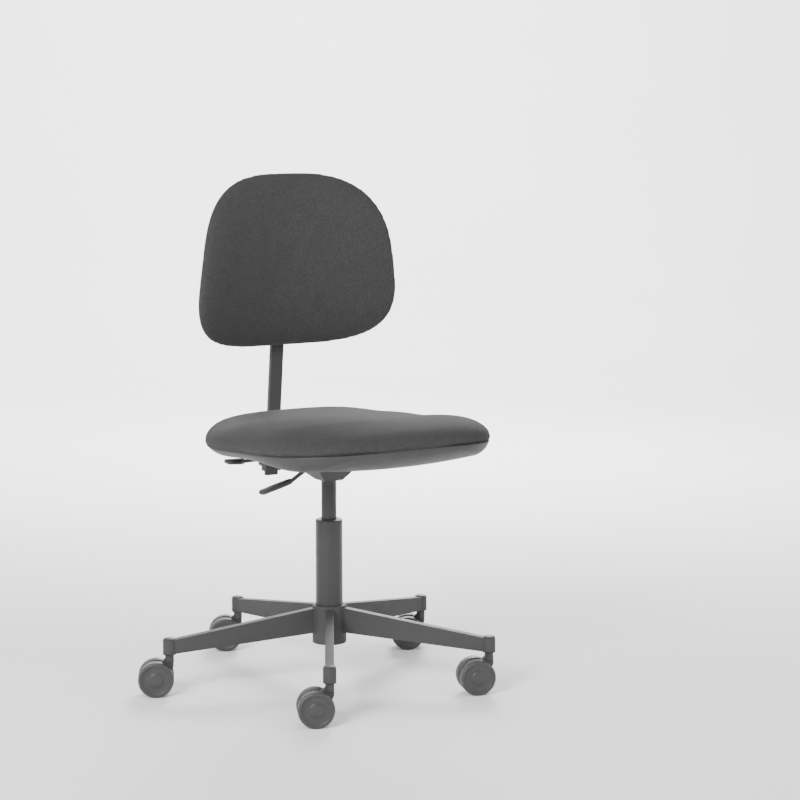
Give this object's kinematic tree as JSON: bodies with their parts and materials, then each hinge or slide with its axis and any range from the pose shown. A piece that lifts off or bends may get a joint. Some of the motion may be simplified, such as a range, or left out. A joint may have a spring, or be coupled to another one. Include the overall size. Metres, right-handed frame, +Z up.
{
  "type": "swivel task chair",
  "caption": "Armless swivel task chair: padded seat on a gas lift, star base on twin-wheel casters, and a padded backrest that tilts and slides on one upright.",
  "frame": {"origin": "on the floor, under the axis of the gas lift column", "axes": "+Z up along the column; the sitter faces -Y, so the backrest is on the +Y side and +X is the sitter's left"},
  "size_m": [0.6543, 0.6497, 0.9364],
  "materials": {
    "upholstery": "woven charcoal fabric over foam",
    "powder_steel": "satin dark grey powder coat",
    "dark_plastic": "fine moulded grain",
    "wheel_plastic": "smooth hard plastic",
    "steel": "bright steel",
    "black_steel": "black gas lift paint",
    "plywood": "moulded beech plywood",
    "rubber": "soft black"
  },
  "bodies": {
    "base": {"base_hub": "powder_steel", "base_arm_1": "powder_steel", "base_arm_2": "powder_steel", "base_arm_3": "powder_steel", "base_arm_4": "powder_steel", "base_arm_5": "powder_steel", "caster_sleeves": "dark_plastic", "column_tube": "black_steel", "column_bush": "dark_plastic"},
    "spindle": {"piston_rod": "steel", "thrust_bearing": "steel", "rod_clip": "steel", "bump_stop": "rubber"},
    "seat": {"gas_cylinder": "black_steel", "taper_socket": "steel", "mechanism_housing": "powder_steel", "seat_plate": "powder_steel", "seat_board": "plywood", "seat_cushion": "upholstery", "seat_shell": "dark_plastic", "seat_bolts": "steel", "armrest_inserts": "steel", "lever_shaft": "steel", "back_bracket": "powder_steel", "tilt_pin": "steel"},
    "valve": {"release_pin": "steel"},
    "height_lever": {"height_lever": "black_steel", "height_grip": "dark_plastic"},
    "tilt_lever": {"tilt_lever": "black_steel", "tilt_grip": "dark_plastic"},
    "back": {"back_holder": "powder_steel", "tilt_bush": "rubber", "back_post": "powder_steel"},
    "angle_knob": {"angle_knob": "dark_plastic"},
    "backrest": {"back_board": "plywood", "back_cushion": "upholstery", "back_shell": "dark_plastic", "back_carrier": "dark_plastic", "carrier_screws": "steel"},
    "back_knob": {"back_knob": "dark_plastic"},
    "caster_1": {"caster_body_1": "dark_plastic", "caster_pins_1": "steel"},
    "wheel_1_a": {"wheel_1_a": "wheel_plastic"},
    "wheel_1_b": {"wheel_1_b": "wheel_plastic"},
    "caster_2": {"caster_body_2": "dark_plastic", "caster_pins_2": "steel"},
    "wheel_2_a": {"wheel_2_a": "wheel_plastic"},
    "wheel_2_b": {"wheel_2_b": "wheel_plastic"},
    "caster_3": {"caster_body_3": "dark_plastic", "caster_pins_3": "steel"},
    "wheel_3_a": {"wheel_3_a": "wheel_plastic"},
    "wheel_3_b": {"wheel_3_b": "wheel_plastic"},
    "caster_4": {"caster_body_4": "dark_plastic", "caster_pins_4": "steel"},
    "wheel_4_a": {"wheel_4_a": "wheel_plastic"},
    "wheel_4_b": {"wheel_4_b": "wheel_plastic"},
    "caster_5": {"caster_body_5": "dark_plastic", "caster_pins_5": "steel"},
    "wheel_5_a": {"wheel_5_a": "wheel_plastic"},
    "wheel_5_b": {"wheel_5_b": "wheel_plastic"}
  },
  "joints": [
    {"name": "seat_swivel", "type": "hinge", "parent": "base", "child": "spindle", "pos_m": [0, 0, 0.084], "axis": [0, 0, 1], "continuous": true},
    {"name": "seat_lift", "type": "slide", "parent": "spindle", "child": "seat", "axis": [0, 0, 1], "range_m": [-0.068, 0.04]},
    {"name": "height_lever_pull", "type": "hinge", "parent": "seat", "child": "height_lever", "pos_m": [-0.031, 0, 0.413], "axis": [0, 1, 0], "range_deg": [0, 5], "stiffness_Nm_per_rad": 0.8, "springref_deg": -8.59},
    {"name": "valve_press", "type": "slide", "parent": "seat", "child": "valve", "axis": [0, 0, -1], "range_m": [0, 0.0032]},
    {"name": "tilt_lever_turn", "type": "hinge", "parent": "seat", "child": "tilt_lever", "pos_m": [-0.031, 0.057, 0.413], "axis": [0, -1, 0], "range_deg": [0, 10]},
    {"name": "back_tilt", "type": "hinge", "parent": "seat", "child": "back", "pos_m": [0, 0.188, 0.4315], "axis": [-1, 0, 0], "range_deg": [0, 18], "stiffness_Nm_per_rad": 60, "springref_deg": -11.46},
    {"name": "angle_knob_turn", "type": "hinge", "parent": "back", "child": "angle_knob", "pos_m": [0, 0.23933, 0.378], "axis": [0, 1, 0], "range_deg": [-270, 270]},
    {"name": "back_height", "type": "slide", "parent": "back", "child": "backrest", "axis": [0, 0, 1], "range_m": [0, 0.14]},
    {"name": "back_knob_turn", "type": "hinge", "parent": "backrest", "child": "back_knob", "pos_m": [0, 0.2192, 0.695], "axis": [0, 1, 0], "range_deg": [-270, 270]},
    {"name": "caster_swivel_1", "type": "hinge", "parent": "base", "child": "caster_1", "pos_m": [-0.14835, -0.26763, 0.077], "axis": [0, 0, 1], "continuous": true},
    {"name": "wheel_spin_1_a", "type": "hinge", "parent": "caster_1", "child": "wheel_1_a", "pos_m": [-0.17672, -0.27087, 0.0325], "axis": [-0.4067, -0.9135, 0], "continuous": true},
    {"name": "wheel_spin_1_b", "type": "hinge", "parent": "caster_1", "child": "wheel_1_b", "pos_m": [-0.16493, -0.24438, 0.0325], "axis": [-0.4067, -0.9135, 0], "continuous": true},
    {"name": "caster_swivel_2", "type": "hinge", "parent": "base", "child": "caster_2", "pos_m": [0.20869, -0.22379, 0.077], "axis": [0, 0, 1], "continuous": true},
    {"name": "wheel_spin_2_a", "type": "hinge", "parent": "caster_2", "child": "wheel_2_a", "pos_m": [0.18082, -0.22998, 0.0325], "axis": [-0.309, -0.9511, 0], "continuous": true},
    {"name": "wheel_spin_2_b", "type": "hinge", "parent": "caster_2", "child": "wheel_2_b", "pos_m": [0.18978, -0.2024, 0.0325], "axis": [-0.309, -0.9511, 0], "continuous": true},
    {"name": "caster_swivel_3", "type": "hinge", "parent": "base", "child": "caster_3", "pos_m": [0.27733, 0.12932, 0.077], "axis": [0, 0, 1], "continuous": true},
    {"name": "wheel_spin_3_a", "type": "hinge", "parent": "caster_3", "child": "wheel_3_a", "pos_m": [0.24878, 0.12956, 0.0325], "axis": [-0.515, -0.8572, 0], "continuous": true},
    {"name": "wheel_spin_3_b", "type": "hinge", "parent": "caster_3", "child": "wheel_3_b", "pos_m": [0.26371, 0.15442, 0.0325], "axis": [-0.515, -0.8572, 0], "continuous": true},
    {"name": "caster_swivel_4", "type": "hinge", "parent": "base", "child": "caster_4", "pos_m": [-0.03729, 0.30372, 0.077], "axis": [0, 0, 1], "continuous": true},
    {"name": "wheel_spin_4_a", "type": "hinge", "parent": "caster_4", "child": "wheel_4_a", "pos_m": [-0.06579, 0.30197, 0.0325], "axis": [-0.454, -0.891, 0], "continuous": true},
    {"name": "wheel_spin_4_b", "type": "hinge", "parent": "caster_4", "child": "wheel_4_b", "pos_m": [-0.05263, 0.32781, 0.0325], "axis": [-0.454, -0.891, 0], "continuous": true},
    {"name": "caster_swivel_5", "type": "hinge", "parent": "base", "child": "caster_5", "pos_m": [-0.30038, 0.05839, 0.077], "axis": [0, 0, 1], "continuous": true},
    {"name": "wheel_spin_5_a", "type": "hinge", "parent": "caster_5", "child": "wheel_5_a", "pos_m": [-0.32884, 0.05614, 0.0325], "axis": [-0.4384, -0.8988, 0], "continuous": true},
    {"name": "wheel_spin_5_b", "type": "hinge", "parent": "caster_5", "child": "wheel_5_b", "pos_m": [-0.31613, 0.0822, 0.0325], "axis": [-0.4384, -0.8988, 0], "continuous": true}
  ],
  "couplings": [
    {"joint": "valve_press", "follows": "height_lever_pull", "m_per_rad": 0.0355}
  ]
}
